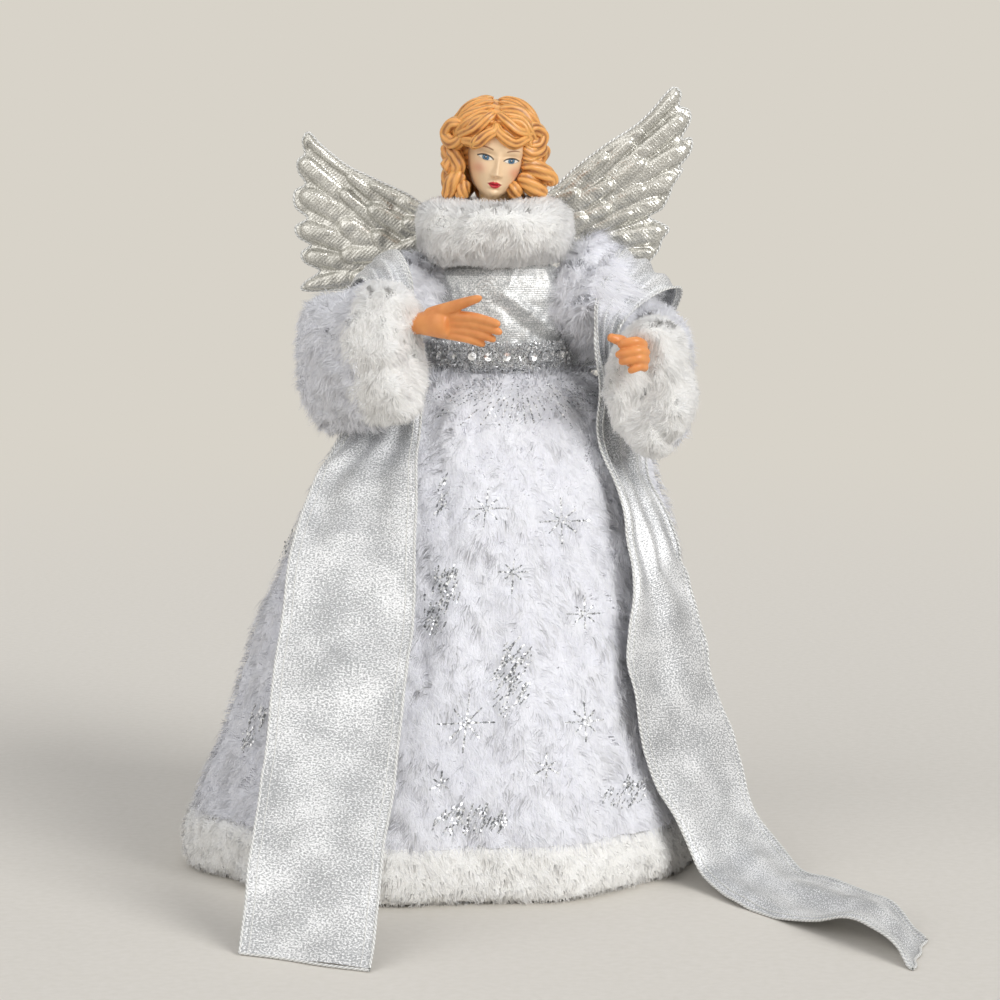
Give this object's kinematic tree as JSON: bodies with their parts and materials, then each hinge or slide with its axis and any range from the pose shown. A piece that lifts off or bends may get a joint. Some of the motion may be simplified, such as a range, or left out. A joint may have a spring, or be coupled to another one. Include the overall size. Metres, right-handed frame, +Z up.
{
  "type": "angel tree topper",
  "caption": "Doll in a long plush gown with padded wings and a ribbon stole, on a hollow cone that fits over the tip of a Christmas tree; head, arms, hands and wings move.",
  "frame": {"origin": "centre of the cone's open base, on the surface that the topper stands on", "axes": "+Z up along the cone, the front faces -Y, +X to the right as seen from the front"},
  "size_m": [0.364, 0.3925, 0.4008],
  "materials": {
    "card": "grey board, die cut",
    "moulding": "moulded, as ejected",
    "painted_head": "moulded hair, painted face",
    "skin": "moulded, satin",
    "wire": "drawn",
    "bodice_lame": "woven with metallic thread",
    "ribbon_lame": "woven with metallic thread, wired edges",
    "wing_lame": "metallic weave, padded and embossed",
    "tinsel": "metallic braid with sequins",
    "gown_plush": "long-pile plush with foil motifs",
    "trim_plush": "dense short-pile plush"
  },
  "bodies": {
    "root": {"support_cone": "card", "torso_form": "moulding", "neck_peg": "moulding", "bodice": "bodice_lame", "belt": "tinsel", "skirt": "gown_plush", "hem_band": "trim_plush", "collar": "trim_plush", "arm_wire": "wire", "stole": "ribbon_lame", "wing_tab": "card", "upper_sleeve_left": "gown_plush", "upper_sleeve_right": "gown_plush"},
    "head": {"head": "painted_head"},
    "left_forearm": {"bell_sleeve_left": "gown_plush", "cuff_left": "trim_plush", "forearm_wire_left": "wire"},
    "left_hand": {"hand_left": "skin"},
    "right_forearm": {"bell_sleeve_right": "gown_plush", "cuff_right": "trim_plush", "forearm_wire_right": "wire"},
    "right_hand": {"hand_right": "skin"},
    "left_wing": {"wing_left": "wing_lame", "wing_wire_left": "wire"},
    "right_wing": {"wing_right": "wing_lame", "wing_wire_right": "wire"}
  },
  "joints": [
    {"name": "head_turn", "type": "hinge", "parent": "root", "child": "head", "pos_m": [-0.003, -0.004, 0.3428], "axis": [0, 0, 1], "range_deg": [-60, 60]},
    {"name": "left_elbow", "type": "hinge", "parent": "root", "child": "left_forearm", "pos_m": [-0.09, -0.046, 0.276], "axis": [-0.5093, -0.8606, 0], "range_deg": [-5, 20]},
    {"name": "left_hand_turn", "type": "hinge", "parent": "left_forearm", "child": "left_hand", "pos_m": [-0.041, -0.075, 0.28], "axis": [0.8585, -0.5081, 0.0701], "range_deg": [-30, 30]},
    {"name": "right_elbow", "type": "hinge", "parent": "root", "child": "right_forearm", "pos_m": [0.084, -0.026, 0.27], "axis": [-0.9448, 0.3278, 0], "range_deg": [-5, 20]},
    {"name": "right_hand_turn", "type": "hinge", "parent": "right_forearm", "child": "right_hand", "pos_m": [0.067, -0.075, 0.268], "axis": [-0.3275, -0.9441, -0.0385], "range_deg": [-30, 30]},
    {"name": "left_wing_fold", "type": "hinge", "parent": "root", "child": "left_wing", "pos_m": [-0.008, 0.045, 0.338], "axis": [0, 0, -1], "range_deg": [-20, 30]},
    {"name": "right_wing_fold", "type": "hinge", "parent": "root", "child": "right_wing", "pos_m": [0.008, 0.045, 0.338], "axis": [0, 0, 1], "range_deg": [-10, 40]}
  ]
}
